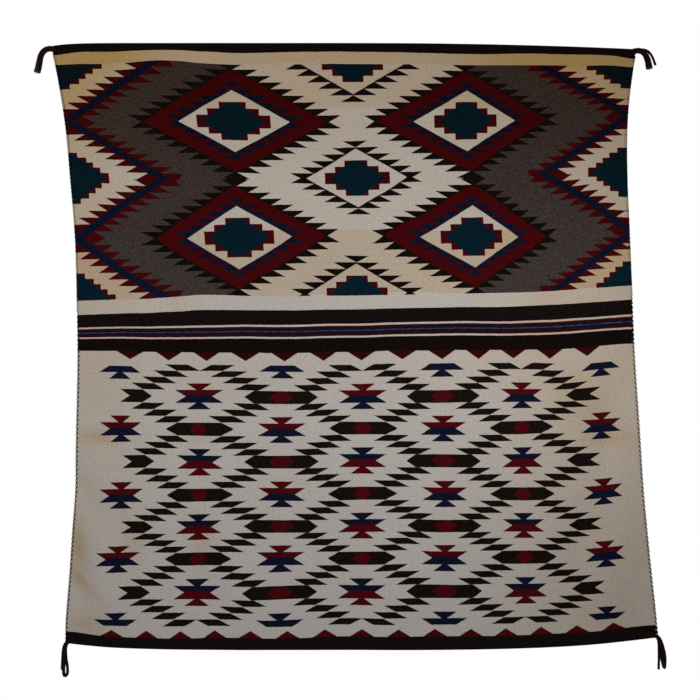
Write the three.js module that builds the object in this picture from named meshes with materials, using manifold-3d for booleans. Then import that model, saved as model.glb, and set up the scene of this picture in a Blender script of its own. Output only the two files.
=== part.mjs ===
// A serape: one tapestry-woven wool blanket hung by its top edge, with a twined
// cord along each side and a tassel of cord ends at each corner.
// Millimetres, +Z up. The front faces -Y. The origin is the middle of the top edge.

import * as THREE from 'three';
import { mergeVertices } from 'three/addons/utils/BufferGeometryUtils.js';
import Module from 'manifold-3d';

const wasm = await Module();
wasm.setup();

// Driving dimensions
const ROW_PITCH = 13.46; // height of one row of the woven pattern
const ROW_COUNT = 94.4; // pattern rows from the top edge to the bottom edge
const CLOTH_THICKNESS = 3;
const CORD_DIAMETER = 4;
const CORD_GAP = 0.5; // clear space between the cloth's edge and the cord
const CORD_FIRST_ROW = 0.9; // the cords stop just short of the tassel heads
const CORD_LAST_ROW = 93.9;
const KNOT_RADIUS = 4.5; // half the width of a tassel's head
const STRAND_RADIUS = 2.1; // from the middle of a tassel strand to its corners

// How finely the shapes are faceted
const CELLS_ACROSS = 32;
const CELLS_DOWN = 36;
const CORD_SIDES = 6;
const CORD_STEPS = 48;
const KNOT_SEGMENTS = 10;
const KNOT_RINGS = 8;
const STRAND_SIDES = 4;
const STRAND_STEP_LENGTH = 6;

// The cloth's sections from top to bottom, each at a row of the pattern. left and
// right are where its side edges are. leftRise and rightRise say how far a row
// climbs towards each side, and the bends how late: 1 is a straight slope, and a
// large number turns only at the corner.
const SECTIONS = [
  { row: 0.0, left: -605, right: 606, leftRise: -6.0, rightRise: -12.8, leftBend: 18.0, rightBend: 2.2 },
  { row: 3.3, left: -597, right: 601, leftRise: -1.6, rightRise: -5.8, leftBend: 6.0, rightBend: 2.4 },
  { row: 12.3, left: -578, right: 590, leftRise: -2.9, rightRise: 8.6, leftBend: 2.0, rightBend: 1.5 },
  { row: 21.3, left: -567, right: 589, leftRise: 1.4, rightRise: 15.7, leftBend: 2.0, rightBend: 1.5 },
  { row: 30.3, left: -557, right: 594, leftRise: -3.1, rightRise: 14.3, leftBend: 1.5, rightBend: 1.5 },
  { row: 41.5, left: -553, right: 600, leftRise: -10.7, rightRise: 22.5, leftBend: 1.8, rightBend: 2.4 },
  { row: 48.2, left: -552, right: 604, leftRise: 4.0, rightRise: 17.4, leftBend: 1.5, rightBend: 2.2 },
  { row: 60.0, left: -555, right: 615, leftRise: 1.8, rightRise: 8.1, leftBend: 2.0, rightBend: 1.5 },
  { row: 70.0, left: -558, right: 624, leftRise: -3.8, rightRise: 3.1, leftBend: 2.0, rightBend: 1.5 },
  { row: 80.0, left: -568, right: 637, leftRise: -3.2, rightRise: 8.1, leftBend: 2.0, rightBend: 2.0 },
  { row: 90.0, left: -577, right: 651, leftRise: -0.4, rightRise: 16.3, leftBend: 3.0, rightBend: 2.4 },
  { row: 94.4, left: -577, right: 655, leftRise: 14.2, rightRise: 24.9, leftBend: 5.8, rightBend: 3.3 },
];

// Soft folds, each a trough around the point x, z. halfWidth and halfLength are its
// spread across and down, lean is how far it slants across for each millimetre of
// drop, and depth is how far it sinks back. A ridge has a negative depth.
const FOLDS = [
  { x: -286, z: -1115, halfWidth: 34, halfLength: 120, lean: 0.05, depth: 8 },
  { x: -214, z: -1140, halfWidth: 40, halfLength: 110, lean: 0.08, depth: -6 },
  { x: -426, z: -1070, halfWidth: 36, halfLength: 90, lean: 0.1, depth: 6 },
  { x: -496, z: -1150, halfWidth: 38, halfLength: 110, lean: 0.05, depth: -7 },
  { x: -575, z: -1110, halfWidth: 40, halfLength: 80, lean: -0.15, depth: 12 },
  { x: -548, z: -940, halfWidth: 36, halfLength: 70, lean: 0.6, depth: 8 },
  { x: -500, z: -800, halfWidth: 45, halfLength: 90, lean: 0.2, depth: 5 },
  { x: 552, z: -820, halfWidth: 42, halfLength: 120, lean: -0.2, depth: 8 },
  { x: 505, z: -1060, halfWidth: 50, halfLength: 110, lean: -0.3, depth: 6 },
  { x: 625, z: -1170, halfWidth: 80, halfLength: 140, lean: 0, depth: 12 },
  { x: 120, z: -1150, halfWidth: 70, halfLength: 140, lean: 0, depth: -5 },
  { x: 10, z: -1160, halfWidth: 50, halfLength: 120, lean: 0, depth: 4 },
  { x: -510, z: -560, halfWidth: 40, halfLength: 110, lean: 0.05, depth: 4 },
  { x: -345, z: -560, halfWidth: 36, halfLength: 110, lean: 0.05, depth: 3 },
];

// The four tassels. corner gives the cloth's corner as a share across and a row,
// and knot is the head's middle from there, in x and z. Each strand is a path of
// x, z points from the head's middle. side and depth set it apart from the other
// strands on the same path, beside it and behind it.
const TASSELS = [
  {
    name: 'corner_tassel_top_left',
    corner: { share: 0, row: 0 },
    knot: [-6.5, -4],
    strands: [-5.5, 0, 5.5].map((side) => ({
      path: [[0, 0], [-16, -8], [-23.5, -21], [-26.5, -35], [-28.5, -51]],
      side,
      depth: -1.9,
    })).concat([-2.8, 2.8].map((side) => ({
      path: [[0, 0], [-16, -8], [-23.5, -21], [-26.5, -35], [-28.3, -49]],
      side,
      depth: 1.9,
    }))),
  },
  {
    name: 'corner_tassel_top_right',
    corner: { share: 1, row: 0 },
    knot: [6.5, -1.7],
    strands: [-2.6, 2.6].map((side) => ({
      path: [[0, 0], [15, -6], [23, -21], [28.5, -38]],
      side,
      depth: -1.9,
    })).concat([-2.6, 2.6].map((side) => ({
      path: [[0, 0], [15, -6], [22.5, -20], [27.6, -35]],
      side,
      depth: 1.9,
    })), [{ path: [[0, 0], [16, 1.5], [28, -6], [35, -17], [41, -32]], side: 0, depth: 0 }]),
  },
  {
    name: 'corner_tassel_bottom_left',
    corner: { share: 0, row: ROW_COUNT },
    knot: [-5, -1.3],
    strands: [
      { path: [[0, 0], [-5.5, -20], [-8.2, -43.5], [-7.6, -53]], side: 0, depth: 3.4 },
      {
        path: [[0, 0], [0.6, -20], [3, -38], [6, -52], [3.4, -63], [-3, -65.5],
          [-6, -57], [-5.6, -42], [-4.4, -26], [0, 0]],
        side: 0,
        depth: -1.2,
      },
    ],
  },
  {
    name: 'corner_tassel_bottom_right',
    corner: { share: 1, row: ROW_COUNT },
    knot: [5.6, -1.1],
    strands: [{ path: [[0, 0], [-0.4, -12], [0.8, -32], [1.2, -64.5]], side: 0, depth: 0 }].concat(
      [-2.3, 2.3].map((depth) => ({
        path: [[0, 0], [5.6, -17], [8.2, -37], [9, -56], [12.4, -62.5], [16, -56], [15.6, -37],
          [13, -17], [0, 0]],
        side: 0,
        depth,
      })),
    ),
  },
];

// Smooth values between the rows of the section table
const sectionColumns = Object.keys(SECTIONS[0]).filter((column) => column !== 'row');
const sectionCurve = new THREE.CubicInterpolant(
  SECTIONS.map((section) => section.row),
  SECTIONS.flatMap((section) => sectionColumns.map((column) => section[column])),
  sectionColumns.length,
);

function sectionAt(row) {
  const values = sectionCurve.evaluate(row);
  return Object.fromEntries(sectionColumns.map((column, index) => [column, values[index]]));
}

function foldDepth(x, z) {
  let depth = 0;
  for (const fold of FOLDS) {
    const down = z - fold.z;
    const across = x - fold.x + fold.lean * down;
    depth += fold.depth * Math.exp(-((across / fold.halfWidth) ** 2) - (down / fold.halfLength) ** 2);
  }
  return depth;
}

// The middle of the cloth's thickness: share runs from 0 at the left edge to 1 at
// the right edge, and row from the top edge down.
function clothPoint(share, row) {
  const section = sectionAt(row);
  const x = THREE.MathUtils.lerp(section.left, section.right, share);
  const towardsLeft = Math.max(0, 1 - 2 * share);
  const towardsRight = Math.max(0, 2 * share - 1);
  const z = section.leftRise * towardsLeft ** section.leftBend
    + section.rightRise * towardsRight ** section.rightBend
    - ROW_PITCH * row;
  return new THREE.Vector3(x, foldDepth(x, z), z);
}

// The woven panel: a front and a back face a thickness apart, closed by a narrow rim
function panelGeometry() {
  const across = CELLS_ACROSS + 1;
  const faceSize = across * (CELLS_DOWN + 1);
  const positions = [];
  for (const side of [-1, 1]) {
    for (let j = 0; j <= CELLS_DOWN; j += 1) {
      for (let i = 0; i <= CELLS_ACROSS; i += 1) {
        const point = clothPoint(i / CELLS_ACROSS, (ROW_COUNT * j) / CELLS_DOWN);
        positions.push(point.x, point.y + (side * CLOTH_THICKNESS) / 2, point.z);
      }
    }
  }

  const indices = [];
  const quad = (a, b, c, d) => indices.push(a, b, c, a, c, d);
  const front = (i, j) => j * across + i;
  const back = (i, j) => faceSize + front(i, j);
  for (let j = 0; j < CELLS_DOWN; j += 1) {
    for (let i = 0; i < CELLS_ACROSS; i += 1) {
      quad(front(i, j), front(i, j + 1), front(i + 1, j + 1), front(i + 1, j));
      quad(back(i, j), back(i + 1, j), back(i + 1, j + 1), back(i, j + 1));
    }
  }
  for (let i = 0; i < CELLS_ACROSS; i += 1) {
    quad(front(i, 0), front(i + 1, 0), back(i + 1, 0), back(i, 0));
    quad(front(i + 1, CELLS_DOWN), front(i, CELLS_DOWN), back(i, CELLS_DOWN), back(i + 1, CELLS_DOWN));
  }
  for (let j = 0; j < CELLS_DOWN; j += 1) {
    quad(front(0, j + 1), front(0, j), back(0, j), back(0, j + 1));
    quad(front(CELLS_ACROSS, j), front(CELLS_ACROSS, j + 1), back(CELLS_ACROSS, j + 1), back(CELLS_ACROSS, j));
  }

  const geometry = new THREE.BufferGeometry();
  geometry.setAttribute('position', new THREE.Float32BufferAttribute(positions, 3));
  geometry.setIndex(indices);
  geometry.computeVertexNormals();
  return geometry;
}

// A regular section for tubes, with its corners on a circle
function polygonShape(sides, radius) {
  const corners = Array.from({ length: sides }, (_, corner) => {
    const angle = (2 * Math.PI * (corner + 0.5)) / sides;
    return new THREE.Vector2(radius * Math.cos(angle), radius * Math.sin(angle));
  });
  return new THREE.Shape(corners);
}

function tubeGeometry(curve, shape, steps) {
  return new THREE.ExtrudeGeometry(shape, { steps, extrudePath: curve, bevelEnabled: false });
}

// A side cord follows the cloth's edge, outside it
function cordGeometry(share) {
  const outwards = share < 0.5 ? -1 : 1;
  const offset = outwards * (CORD_GAP + CORD_DIAMETER / 2);
  const points = Array.from({ length: CORD_STEPS + 1 }, (_, step) => {
    const row = THREE.MathUtils.lerp(CORD_FIRST_ROW, CORD_LAST_ROW, step / CORD_STEPS);
    const point = clothPoint(share, row);
    point.x += offset;
    return point;
  });
  const curve = new THREE.CatmullRomCurve3(points);
  return tubeGeometry(curve, polygonShape(CORD_SIDES, CORD_DIAMETER / 2), CORD_STEPS);
}

// One strand leaves the middle of the head and opens out to its place in the tassel.
// A loop comes back to the head, so it is made as two legs that meet where it hangs
// lowest: legs that lie close together near the head can then be joined into one.
function strandGeometries(strand) {
  const path = new THREE.CatmullRomCurve3(strand.path.map(([x, z]) => new THREE.Vector3(x, 0, z)));
  const steps = Math.ceil(path.getLength() / STRAND_STEP_LENGTH);
  const returns = path.getPoint(1).length() < KNOT_RADIUS;
  const points = path.getSpacedPoints(steps).map((point, step) => {
    const along = step / steps;
    const fromHead = returns ? Math.min(along, 1 - along) : along;
    const opening = THREE.MathUtils.lerp(0.45, 1, THREE.MathUtils.smoothstep(fromHead, 0, 0.25));
    const tangent = path.getTangentAt(along);
    point.x += opening * strand.side * tangent.z;
    point.z -= opening * strand.side * tangent.x;
    point.y += opening * strand.depth;
    return point;
  });
  const lowest = Math.round(steps / 2);
  const legs = returns ? [points.slice(0, lowest + 1), points.slice(lowest)] : [points];
  const section = polygonShape(STRAND_SIDES, STRAND_RADIUS);
  return legs.map((leg) => tubeGeometry(new THREE.CatmullRomCurve3(leg), section, leg.length - 1));
}

// Turns a closed geometry into a solid that can be joined to others
function toSolid(geometry) {
  const bare = geometry.clone();
  bare.deleteAttribute('normal');
  bare.deleteAttribute('uv');
  const merged = mergeVertices(bare);
  return new wasm.Manifold(new wasm.Mesh({
    numProp: 3,
    vertProperties: new Float32Array(merged.attributes.position.array),
    triVerts: new Uint32Array(merged.index.array),
  }));
}

function fromSolid(solid) {
  const mesh = solid.getMesh();
  const geometry = new THREE.BufferGeometry();
  geometry.setAttribute('position', new THREE.BufferAttribute(mesh.vertProperties, 3));
  geometry.setIndex(new THREE.BufferAttribute(mesh.triVerts, 1));
  geometry.computeVertexNormals();
  return geometry;
}

// A tassel is its knotted head with the strands' roots joined into it
function tasselGeometry(tassel) {
  let solid = toSolid(new THREE.SphereGeometry(KNOT_RADIUS, KNOT_SEGMENTS, KNOT_RINGS));
  for (const geometry of tassel.strands.flatMap(strandGeometries)) {
    solid = solid.add(toSolid(geometry));
  }
  return fromSolid(solid);
}

// Yarns
const clothYarn = new THREE.MeshStandardMaterial({ color: 0xcbbfa6, roughness: 0.95, metalness: 0 });
const cordYarn = new THREE.MeshStandardMaterial({ color: 0x1d1512, roughness: 0.9, metalness: 0 });
const tasselYarn = new THREE.MeshStandardMaterial({ color: 0x2a1a17, roughness: 0.9, metalness: 0 });

const serape = new THREE.Group();

function addPiece(name, geometry, material) {
  const mesh = new THREE.Mesh(geometry, material);
  mesh.name = name;
  serape.add(mesh);
  return mesh;
}

addPiece('woven_panel', panelGeometry(), clothYarn);
addPiece('selvage_cord_left', cordGeometry(0), cordYarn);
addPiece('selvage_cord_right', cordGeometry(1), cordYarn);

for (const tassel of TASSELS) {
  const mesh = addPiece(tassel.name, tasselGeometry(tassel), tasselYarn);
  const corner = clothPoint(tassel.corner.share, tassel.corner.row);
  const [x, z] = tassel.knot;
  mesh.position.set(corner.x + x, corner.y, corner.z + z);
}

export default serape;
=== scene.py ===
"""A hung wool serape: a tapestry-woven sheet with twined side cords and corner tassels."""

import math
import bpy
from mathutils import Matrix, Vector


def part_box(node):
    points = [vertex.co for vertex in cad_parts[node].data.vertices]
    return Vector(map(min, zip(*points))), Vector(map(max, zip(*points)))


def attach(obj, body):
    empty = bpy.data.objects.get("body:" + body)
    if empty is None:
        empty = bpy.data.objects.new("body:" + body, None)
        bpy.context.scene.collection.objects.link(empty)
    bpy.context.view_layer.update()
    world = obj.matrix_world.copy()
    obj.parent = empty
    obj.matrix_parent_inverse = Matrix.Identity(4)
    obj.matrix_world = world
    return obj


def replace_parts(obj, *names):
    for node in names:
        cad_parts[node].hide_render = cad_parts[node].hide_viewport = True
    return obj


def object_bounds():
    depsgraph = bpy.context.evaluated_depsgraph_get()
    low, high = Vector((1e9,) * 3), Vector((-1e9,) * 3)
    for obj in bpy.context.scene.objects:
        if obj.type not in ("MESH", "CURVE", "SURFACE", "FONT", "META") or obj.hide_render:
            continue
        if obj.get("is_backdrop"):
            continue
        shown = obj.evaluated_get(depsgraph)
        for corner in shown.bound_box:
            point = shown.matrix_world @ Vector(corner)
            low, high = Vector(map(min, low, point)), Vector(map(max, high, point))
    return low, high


bl_info = {
    "name": "Woven serape",
    "version": (1, 0, 0),
    "blender": (4, 5, 0),
    "location": "View3D > Sidebar > Serape",
    "description": "Weaves a hung wool serape with twined side cords and corner tassels",
    "category": "Object",
}

from typing import NamedTuple

import bmesh
import bpy
import numpy as np
from mathutils import Vector, noise

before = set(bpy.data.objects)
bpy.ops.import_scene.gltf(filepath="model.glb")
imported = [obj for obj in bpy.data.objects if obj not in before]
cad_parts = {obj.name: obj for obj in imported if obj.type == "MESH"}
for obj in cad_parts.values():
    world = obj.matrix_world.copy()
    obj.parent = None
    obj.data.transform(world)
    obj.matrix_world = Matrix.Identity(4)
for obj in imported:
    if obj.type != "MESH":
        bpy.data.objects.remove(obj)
CAD_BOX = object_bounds()

BODY = "root"
PANEL_LOW, PANEL_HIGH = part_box("woven_panel")
WEAVE_UV = "weave"
TIP_SHARE = "tip_share"

# Driving dimensions of the weave, in metres and in rows of the pattern
ROW_PITCH = 0.01346
ROW_COUNT = 94.4
CORD_FIRST_ROW = 0.9
CORD_SHOWN_ROW = 41.0
CORD_LAST_ROW = 93.9
CORD_OFFSET = 0.0025

# How finely the lines and rounds of the yarn are laid out
CORD_POINTS = 240
TURN_POINTS = 120
EDGE_POINTS = 400
STRAND_POINTS = 60
LEAD_POINTS = 12
HAIR_POINTS = 5
PLY_SIDES = 6
RIM_STATIONS = (0.0, 0.12, 0.35, 0.65, 1.0)

# Seeds of the uneven weft turns and of the frayed ends
TURN_SEED = 11
FRAY_SEED = 5


class Section(NamedTuple):
    """The cloth at one row: its side edges, and how each half of the row climbs to its edge."""

    row: float
    left: float
    right: float
    left_rise: float
    right_rise: float
    left_bend: float
    right_bend: float


SECTIONS = (
    Section(0.0, -0.608, 0.609, -0.0060, -0.0128, 18.0, 2.2),
    Section(3.3, -0.5985, 0.602, -0.0016, -0.0058, 6.0, 2.4),
    Section(12.3, -0.578, 0.590, -0.0029, 0.0086, 2.0, 1.5),
    Section(21.3, -0.567, 0.589, 0.0014, 0.0157, 2.0, 1.5),
    Section(30.3, -0.557, 0.594, -0.0031, 0.0143, 1.5, 1.5),
    Section(41.5, -0.553, 0.600, -0.0107, 0.0225, 1.8, 2.4),
    Section(48.2, -0.552, 0.604, 0.0040, 0.0174, 1.5, 2.2),
    Section(60.0, -0.555, 0.615, 0.0018, 0.0081, 2.0, 1.5),
    Section(70.0, -0.558, 0.624, -0.0038, 0.0031, 2.0, 1.5),
    Section(80.0, -0.568, 0.637, -0.0032, 0.0081, 2.0, 2.0),
    Section(90.0, -0.577, 0.651, -0.0004, 0.0163, 3.0, 2.4),
    Section(94.4, -0.577, 0.655, 0.0142, 0.0249, 5.8, 3.3),
)


class Fold(NamedTuple):
    """A soft trough around x, z that sinks back by depth, or a ridge where depth is negative."""

    x: float
    z: float
    half_width: float
    half_length: float
    lean: float
    depth: float


FOLDS = (
    Fold(-0.286, -1.115, 0.034, 0.120, 0.05, 0.008),
    Fold(-0.214, -1.140, 0.040, 0.110, 0.08, -0.006),
    Fold(-0.426, -1.070, 0.036, 0.090, 0.10, 0.006),
    Fold(-0.496, -1.150, 0.038, 0.110, 0.05, -0.007),
    Fold(-0.575, -1.110, 0.040, 0.080, -0.15, 0.012),
    Fold(-0.548, -0.940, 0.036, 0.070, 0.60, 0.008),
    Fold(-0.500, -0.800, 0.045, 0.090, 0.20, 0.005),
    Fold(0.552, -0.820, 0.042, 0.120, -0.20, 0.008),
    Fold(0.505, -1.060, 0.050, 0.110, -0.30, 0.006),
    Fold(0.625, -1.170, 0.080, 0.140, 0.00, 0.012),
    Fold(0.120, -1.150, 0.070, 0.140, 0.00, -0.005),
    Fold(0.010, -1.160, 0.050, 0.120, 0.00, 0.004),
    Fold(-0.510, -0.560, 0.040, 0.110, 0.05, 0.004),
    Fold(-0.345, -0.560, 0.036, 0.110, 0.05, 0.003),
)


class Strand(NamedTuple):
    """A tassel strand: x, z points from the head, its place beside and behind them, its faded share."""

    path: tuple
    side: float
    depth: float
    faded: float


class Tassel(NamedTuple):
    """A corner tassel: the corner's share across and row, and the head's x, z from there."""

    name: str
    share: float
    row: float
    knot: tuple
    strands: tuple


ARCHED_LEFT = (
    (0.0075, -0.0040), (-0.0028, -0.0022), (-0.0098, -0.0038), (-0.0166, -0.0086),
    (-0.0217, -0.0177), (-0.0246, -0.0303), (-0.0274, -0.0439), (-0.0297, -0.0517),
)
ARCHED_RIGHT = (
    (-0.0060, -0.0030), (0.0052, -0.0020), (0.0118, -0.0038), (0.0183, -0.0092),
    (0.0230, -0.0192), (0.0258, -0.0297), (0.0272, -0.0395),
)
LONE_RIGHT = (
    (-0.0060, -0.0010), (0.0052, 0.0006), (0.0150, 0.0004), (0.0245, -0.0030),
    (0.0312, -0.0101), (0.0357, -0.0192), (0.0402, -0.0318),
)
HUNG_LEFT = (
    (0.0064, 0.0056), (0.0004, 0.0017), (-0.0035, -0.0048), (-0.0056, -0.0153),
    (-0.0067, -0.0310), (-0.0075, -0.0467), (-0.0077, -0.0545),
)
LOOP_LEFT = (
    (0.0075, 0.0047), (0.0035, 0.0004), (0.0012, -0.0061), (0.0009, -0.0205), (0.0017, -0.0310),
    (0.0035, -0.0415), (0.0046, -0.0519), (0.0046, -0.0598), (0.0022, -0.0650), (-0.0004, -0.0668),
    (-0.0030, -0.0637), (-0.0035, -0.0545), (-0.0030, -0.0415), (-0.0022, -0.0258),
    (-0.0014, -0.0101), (0.0017, 0.0004), (0.0075, 0.0047),
)
HUNG_RIGHT = (
    (-0.0080, 0.0045), (-0.0018, -0.0014), (0.0, -0.0105), (0.0005, -0.0262),
    (0.0005, -0.0419), (0.0, -0.0649),
)
LOOP_RIGHT = (
    (-0.0075, 0.0050), (-0.0018, 0.0), (0.0013, -0.0079), (0.0031, -0.0210), (0.0047, -0.0341),
    (0.0065, -0.0445), (0.0086, -0.0537), (0.0108, -0.0607), (0.0124, -0.0632), (0.0136, -0.0595),
    (0.0143, -0.0511), (0.0140, -0.0393), (0.0119, -0.0262), (0.0082, -0.0131), (0.0035, -0.0019),
    (-0.0003, 0.0026), (-0.0075, 0.0050),
)

TASSELS = (
    Tassel("corner_tassel_top_left", 0.0, 0.0, (-0.0035, -0.0040), (
        Strand(ARCHED_LEFT, -0.0048, -0.0019, 0.08),
        Strand(ARCHED_LEFT, 0.0, -0.0019, 0.10),
        Strand(ARCHED_LEFT, 0.0048, -0.0019, 0.40),
        Strand(ARCHED_LEFT, -0.0024, 0.0019, 0.08),
        Strand(ARCHED_LEFT, 0.0024, 0.0019, 0.08),
    )),
    Tassel("corner_tassel_top_right", 1.0, 0.0, (0.0035, -0.0017), (
        Strand(ARCHED_RIGHT, -0.0046, -0.0019, 0.08),
        Strand(ARCHED_RIGHT, 0.0, -0.0019, 0.08),
        Strand(ARCHED_RIGHT, 0.0046, -0.0019, 0.08),
        Strand(ARCHED_RIGHT, -0.0023, 0.0019, 0.08),
        Strand(ARCHED_RIGHT, 0.0023, 0.0019, 0.08),
        Strand(LONE_RIGHT, 0.0, 0.0, 0.08),
    )),
    Tassel("corner_tassel_bottom_left", 0.0, ROW_COUNT, (-0.005, -0.0013), (
        Strand(HUNG_LEFT, 0.0, 0.0034, 0.08),
        Strand(LOOP_LEFT, -0.0006, -0.0026, 0.0),
        Strand(LOOP_LEFT, 0.0006, 0.0004, 0.0),
    )),
    Tassel("corner_tassel_bottom_right", 1.0, ROW_COUNT, (0.0056, -0.0011), (
        Strand(HUNG_RIGHT, 0.0, 0.0, 0.08),
        Strand(LOOP_RIGHT, -0.0022, -0.0023, 0.0),
        Strand(LOOP_RIGHT, 0.0, 0.0023, 0.0),
    )),
)


class Band(NamedTuple):
    """A band of one yarn that runs from edge to edge, by its first and last row."""

    yarn: str
    first: float
    last: float


BANDS = (
    Band("black", -1.0, 1.4),
    Band("dark", 41.5, 43.78),
    Band("stripe_red", 44.09, 44.47),
    Band("navy", 44.47, 45.24),
    Band("pale_line", 44.76, 44.93),
    Band("stripe_red", 45.24, 45.67),
    Band("black", 45.95, 48.12),
    Band("foot_dark", 92.3, 96.0),
)
UPPER_FIRST, UPPER_LAST = 3.3, 39.3
LOWER_FIRST, LOWER_LAST = 48.12, 92.3


class Diamond(NamedTuple):
    """A large diamond: its middle's share across and row in the field, and how wide its parts are."""

    axis: float
    middle: float
    outer: float
    inner: float
    cross: float


# Upper left, upper right, lower left and lower right
DIAMONDS = (
    Diamond(0.2974, 8.8, 0.985, 1.027, 1.00),
    Diamond(0.7156, 9.0, 0.870, 0.955, 0.93),
    Diamond(0.2937, 27.0, 0.952, 0.968, 1.00),
    Diamond(0.7212, 27.1, 0.806, 0.978, 0.96),
)


class Leg(NamedTuple):
    """A leg of the side zigzags: how far in it starts, and its slope, on the left and on the right."""

    left_start: float
    left_slope: float
    right_start: float
    right_slope: float


ZIGZAG = (
    Leg(-0.22, 1.64, -0.75, 1.75),
    Leg(0.30, 1.56, -0.40, 1.64),
    Leg(0.20, 1.51, -0.30, 1.54),
    Leg(0.05, 1.49, -1.30, 1.62),
)


class Wander(NamedTuple):
    """A place around which the weave lies rows lower and a share further right than true."""

    share: float
    row: float
    half_share: float
    half_rows: float
    drop: float
    slide: float


WANDERS = (
    Wander(0.180, 3.3, 0.060, 2.5, -0.60, 0.0),
    Wander(0.335, 1.4, 0.050, 2.0, 0.20, 0.0),
    Wander(0.700, 1.4, 0.080, 2.0, 0.28, 0.0),
    Wander(0.340, 5.0, 0.060, 3.0, 0.0, 0.0035),
    Wander(0.020, 18.0, 0.070, 12.0, -0.30, 0.0),
    Wander(0.450, 15.0, 0.060, 7.0, 0.26, 0.0),
    Wander(0.470, 29.0, 0.090, 4.0, -0.35, 0.0),
    Wander(0.955, 9.2, 0.050, 2.8, -0.55, 0.0),
    Wander(0.955, 25.5, 0.050, 4.5, -0.50, 0.0),
    Wander(0.830, 32.0, 0.050, 5.0, 0.40, 0.0),
    Wander(0.220, 39.3, 0.070, 3.0, -0.40, 0.0),
    Wander(0.640, 44.5, 0.140, 5.0, -0.40, 0.0),
    Wander(0.370, 55.0, 0.060, 7.0, 0.15, 0.0),
    Wander(0.870, 51.5, 0.050, 3.5, 0.35, 0.0),
    Wander(0.520, 64.0, 0.120, 8.0, -0.32, 0.0),
    Wander(0.120, 64.0, 0.080, 4.0, -0.20, 0.0),
    Wander(0.850, 60.0, 0.100, 5.0, -0.15, 0.0),
    Wander(0.500, 79.0, 0.600, 7.0, -0.27, 0.0),
    Wander(0.970, 79.0, 0.040, 7.0, -0.20, 0.0),
    Wander(0.150, 92.3, 0.100, 3.0, 0.40, 0.0),
    Wander(0.370, 92.0, 0.060, 4.0, 0.28, 0.0),
    Wander(0.250, 71.0, 0.070, 22.0, 0.0, -0.0045),
    Wander(0.550, 56.0, 0.080, 8.0, 0.0, 0.0030),
    Wander(0.720, 68.0, 0.080, 22.0, 0.0, 0.0032),
    Wander(0.865, 64.0, 0.060, 22.0, 0.0, -0.0050),
    Wander(0.719, 20.2, 0.030, 2.0, 0.0, 0.0065),
    Wander(0.575, 21.0, 0.040, 4.0, 0.0, 0.0030),
    Wander(0.110, 55.0, 0.080, 7.0, 0.0, -0.0035),
    Wander(0.345, 51.5, 0.050, 6.0, 0.0, 0.0027),
    Wander(0.625, 74.0, 0.050, 9.0, 0.0, 0.0048),
    Wander(0.920, 77.5, 0.045, 7.0, -0.28, 0.0),
    Wander(0.310, 87.0, 0.080, 5.0, 0.20, 0.0),
    Wander(0.800, 91.8, 0.160, 1.6, 0.0, -0.0043),
    Wander(0.860, 48.8, 0.060, 1.5, 0.0, 0.0040),
    Wander(0.050, 48.8, 0.050, 1.5, 0.0, -0.0036),
    Wander(0.440, 48.8, 0.040, 1.5, 0.0, 0.0030),
    Wander(0.925, 69.5, 0.045, 3.0, 0.0, 0.0036),
    Wander(0.710, 4.0, 0.060, 2.5, 0.0, -0.0045),
    Wander(0.370, 6.0, 0.040, 3.0, 0.0, 0.0030),
    Wander(0.560, 12.3, 0.040, 2.2, -0.10, -0.0065),
    Wander(0.580, 29.0, 0.035, 3.0, -0.45, -0.0030),
    Wander(0.0, 92.3, 0.035, 2.5, -0.48, 0.0),
    Wander(1.0, 92.3, 0.060, 2.5, -0.25, 0.0),
    Wander(0.0, 1.4, 0.025, 1.5, 0.32, 0.0),
    Wander(1.0, 1.4, 0.022, 1.5, 0.48, 0.0),
    Wander(0.965, 3.3, 0.030, 1.5, -0.20, 0.0),
    Wander(0.140, 30.3, 0.030, 2.5, 0.0, 0.0065),
    Wander(0.105, 6.8, 0.050, 3.2, 0.0, -0.0095),
    Wander(0.100, 17.5, 0.045, 3.0, 0.0, -0.0036),
    Wander(0.100, 26.0, 0.045, 3.0, 0.0, -0.0055),
    Wander(0.090, 33.0, 0.045, 3.5, 0.0, -0.0075),
    Wander(0.330, 37.8, 0.040, 2.5, 0.0, -0.0075),
    Wander(0.380, 12.0, 0.070, 7.0, 0.15, 0.0),
    Wander(0.360, 27.0, 0.100, 4.0, -0.15, 0.0),
    Wander(0.860, 53.5, 0.060, 4.0, 0.17, 0.0),
    Wander(0.315, 74.0, 0.030, 12.0, 0.0, 0.0025),
    Wander(0.090, 80.0, 0.070, 4.5, -0.20, 0.0),
    Wander(0.580, 80.0, 0.040, 7.0, -0.17, 0.0),
    Wander(0.940, 82.0, 0.040, 4.0, 0.0, 0.0028),
    Wander(0.765, 22.8, 0.035, 2.8, 0.0, 0.0085),
    Wander(0.845, 22.0, 0.030, 2.5, 0.0, -0.0040),
    Wander(0.640, 23.5, 0.035, 2.0, -0.20, -0.0020),
    Wander(0.340, 19.8, 0.050, 2.0, 0.16, -0.0020),
    Wander(0.870, 36.0, 0.050, 3.0, 0.17, 0.0),
    Wander(0.825, 61.0, 0.025, 2.5, 0.0, -0.0045),
    Wander(0.893, 54.5, 0.030, 3.0, 0.0, -0.0035),
    Wander(0.435, 61.0, 0.030, 3.0, 0.0, 0.0032),
    Wander(0.235, 59.5, 0.030, 3.5, 0.0, -0.0030),
    Wander(0.055, 59.0, 0.030, 3.0, 0.0, 0.0030),
    Wander(0.830, 66.0, 0.140, 4.0, -0.14, 0.0),
    Wander(0.260, 49.5, 0.140, 2.5, 0.12, 0.0),
    Wander(0.175, 54.5, 0.045, 4.5, 0.0, -0.0020),
    Wander(0.970, 70.0, 0.032, 14.0, -0.45, 0.0),
    Wander(0.885, 70.0, 0.030, 14.0, 0.12, 0.0),
)


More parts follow.
